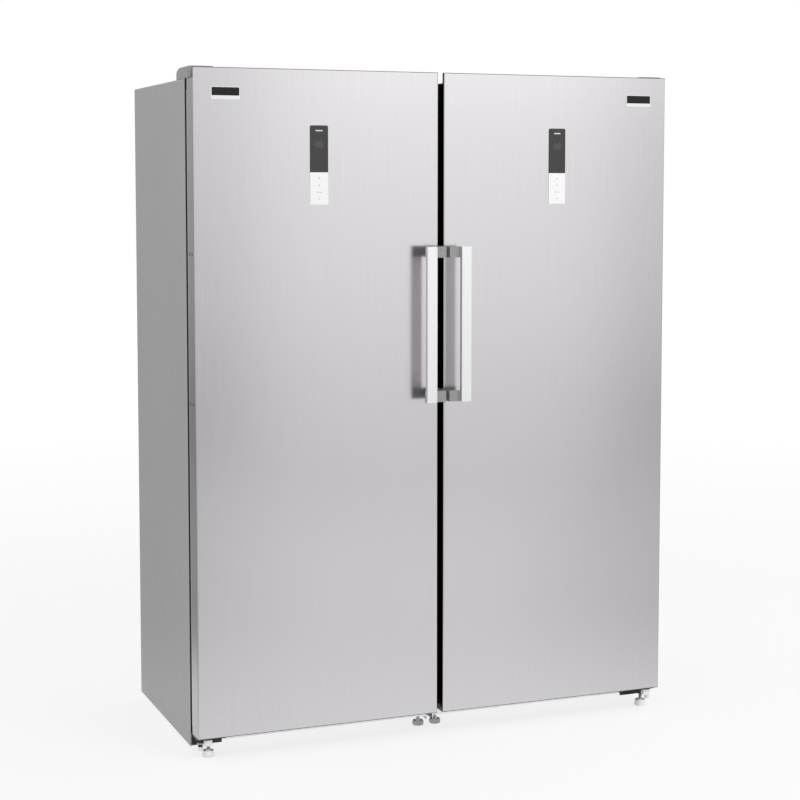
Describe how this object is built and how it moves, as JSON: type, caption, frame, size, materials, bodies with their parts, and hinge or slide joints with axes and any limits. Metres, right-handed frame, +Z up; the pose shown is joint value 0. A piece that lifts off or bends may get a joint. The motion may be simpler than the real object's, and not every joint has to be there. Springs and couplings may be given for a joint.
{
  "type": "upright refrigerator",
  "caption": "Free-standing pair of tall single-door columns, a freezer beside a refrigerator, with steel doors that open from the middle by flat bar handles.",
  "frame": {"origin": "on the floor, under the middle of the pair's box", "axes": "+Z up, the doors face -Y, +X to the right of someone facing the doors"},
  "size_m": [1.4, 0.72, 1.85],
  "materials": {
    "cabinet_paint": "fine satin grey paint",
    "door_steel": "brushed stainless, fingerprint coat",
    "galvanised": "pale coated steel sheet",
    "black_steel": "black powder coat",
    "hinge_steel": "zinc plated plate",
    "screw_steel": "zinc plated",
    "handle_satin": "satin anodised",
    "bracket_grey": "grey painted casting",
    "foam": "rigid foam, unseen",
    "liner_white": "formed white sheet",
    "cap_grey": "grained grey moulding",
    "gasket_grey": "dark grey seal",
    "display_dark": "dark tinted window",
    "keypad_white": "white touch plate",
    "cover_grey": "grained grey moulding",
    "socket_white": "white nylon",
    "foot_grey": "pale grey foot, plated stud",
    "roller_black": "black nylon",
    "strip_black": "black extrusion",
    "shelf_glass": "toughened glass",
    "drawer_clear": "clear moulding",
    "duct_white": "white moulding",
    "machine_black": "black enamel",
    "coil_alu": "mill finish",
    "fan_plastic": "dark moulding"
  },
  "bodies": {
    "cabinets": {"back_panels": "galvanised", "bottom_hinges": "black_steel", "compressors": "machine_black", "condensers": "machine_black", "cord_glands": "roller_black", "crisper_drawers": "drawer_clear", "evaporators": "coil_alu", "fan_motors": "machine_black", "foot_sockets": "socket_white", "freezer_air_duct": "duct_white", "freezer_base_frame": "galvanised", "freezer_cabinet_shell": "cabinet_paint", "freezer_drawers": "drawer_clear", "freezer_insulation": "foam", "freezer_liner": "liner_white", "freezer_shelves": "shelf_glass", "fridge_air_duct": "duct_white", "fridge_base_frame": "galvanised", "fridge_cabinet_shell": "cabinet_paint", "fridge_insulation": "foam", "fridge_liner": "liner_white", "fridge_shelves": "shelf_glass", "hinge_covers": "cover_grey", "hinge_screws": "screw_steel", "joining_strip": "strip_black", "machine_covers": "galvanised", "roller_axles": "hinge_steel", "top_hinges": "hinge_steel"},
    "freezer_door": {"freezer_door_skin": "door_steel", "freezer_door_foam": "foam", "freezer_door_liner": "liner_white", "freezer_door_gasket": "gasket_grey", "freezer_door_end_caps": "cap_grey", "freezer_display": "display_dark", "freezer_keypad": "keypad_white", "freezer_handle_bar": "handle_satin", "freezer_handle_brackets": "bracket_grey", "freezer_handle_screws": "screw_steel"},
    "freezer_fan": {"freezer_fan": "fan_plastic"},
    "freezer_hinge_foot": {"freezer_hinge_foot": "socket_white"},
    "freezer_inner_foot": {"freezer_inner_foot": "foot_grey"},
    "freezer_outer_roller": {"freezer_outer_roller": "roller_black"},
    "freezer_inner_roller": {"freezer_inner_roller": "roller_black"},
    "fridge_door": {"fridge_door_skin": "door_steel", "fridge_door_foam": "foam", "fridge_door_liner": "liner_white", "fridge_door_gasket": "gasket_grey", "fridge_door_end_caps": "cap_grey", "fridge_display": "display_dark", "fridge_keypad": "keypad_white", "fridge_handle_bar": "handle_satin", "fridge_handle_brackets": "bracket_grey", "fridge_handle_screws": "screw_steel", "fridge_door_bins": "drawer_clear"},
    "fridge_fan": {"fridge_fan": "fan_plastic"},
    "fridge_hinge_foot": {"fridge_hinge_foot": "socket_white"},
    "fridge_inner_foot": {"fridge_inner_foot": "foot_grey"},
    "fridge_outer_roller": {"fridge_outer_roller": "roller_black"},
    "fridge_inner_roller": {"fridge_inner_roller": "roller_black"}
  },
  "joints": [
    {"name": "freezer_door_swing", "type": "hinge", "parent": "cabinets", "child": "freezer_door", "pos_m": [-0.684, -0.256, 0.9], "axis": [0, 0, -1], "range_deg": [0, 120]},
    {"name": "freezer_fan_spin", "type": "hinge", "parent": "cabinets", "child": "freezer_fan", "pos_m": [-0.354, 0.27, 1.33], "axis": [0, 1, 0], "continuous": true},
    {"name": "freezer_hinge_foot_turn", "type": "hinge", "parent": "cabinets", "child": "freezer_hinge_foot", "pos_m": [-0.662, -0.255, 0.02], "axis": [0, 0, 1], "continuous": true},
    {"name": "freezer_inner_foot_turn", "type": "hinge", "parent": "cabinets", "child": "freezer_inner_foot", "pos_m": [-0.026, -0.194, 0.02], "axis": [0, 0, 1], "continuous": true},
    {"name": "freezer_outer_roller_spin", "type": "hinge", "parent": "cabinets", "child": "freezer_outer_roller", "pos_m": [-0.66, 0.3, 0.013], "axis": [1, 0, 0], "continuous": true},
    {"name": "freezer_inner_roller_spin", "type": "hinge", "parent": "cabinets", "child": "freezer_inner_roller", "pos_m": [-0.048, 0.3, 0.013], "axis": [1, 0, 0], "continuous": true},
    {"name": "fridge_door_swing", "type": "hinge", "parent": "cabinets", "child": "fridge_door", "pos_m": [0.684, -0.256, 0.9], "axis": [0, 0, 1], "range_deg": [0, 120]},
    {"name": "fridge_fan_spin", "type": "hinge", "parent": "cabinets", "child": "fridge_fan", "pos_m": [0.354, 0.27, 1.33], "axis": [0, 1, 0], "continuous": true},
    {"name": "fridge_hinge_foot_turn", "type": "hinge", "parent": "cabinets", "child": "fridge_hinge_foot", "pos_m": [0.662, -0.255, 0.02], "axis": [0, 0, 1], "continuous": true},
    {"name": "fridge_inner_foot_turn", "type": "hinge", "parent": "cabinets", "child": "fridge_inner_foot", "pos_m": [0.026, -0.194, 0.02], "axis": [0, 0, 1], "continuous": true},
    {"name": "fridge_outer_roller_spin", "type": "hinge", "parent": "cabinets", "child": "fridge_outer_roller", "pos_m": [0.66, 0.3, 0.013], "axis": [1, 0, 0], "continuous": true},
    {"name": "fridge_inner_roller_spin", "type": "hinge", "parent": "cabinets", "child": "fridge_inner_roller", "pos_m": [0.048, 0.3, 0.013], "axis": [1, 0, 0], "continuous": true}
  ]
}
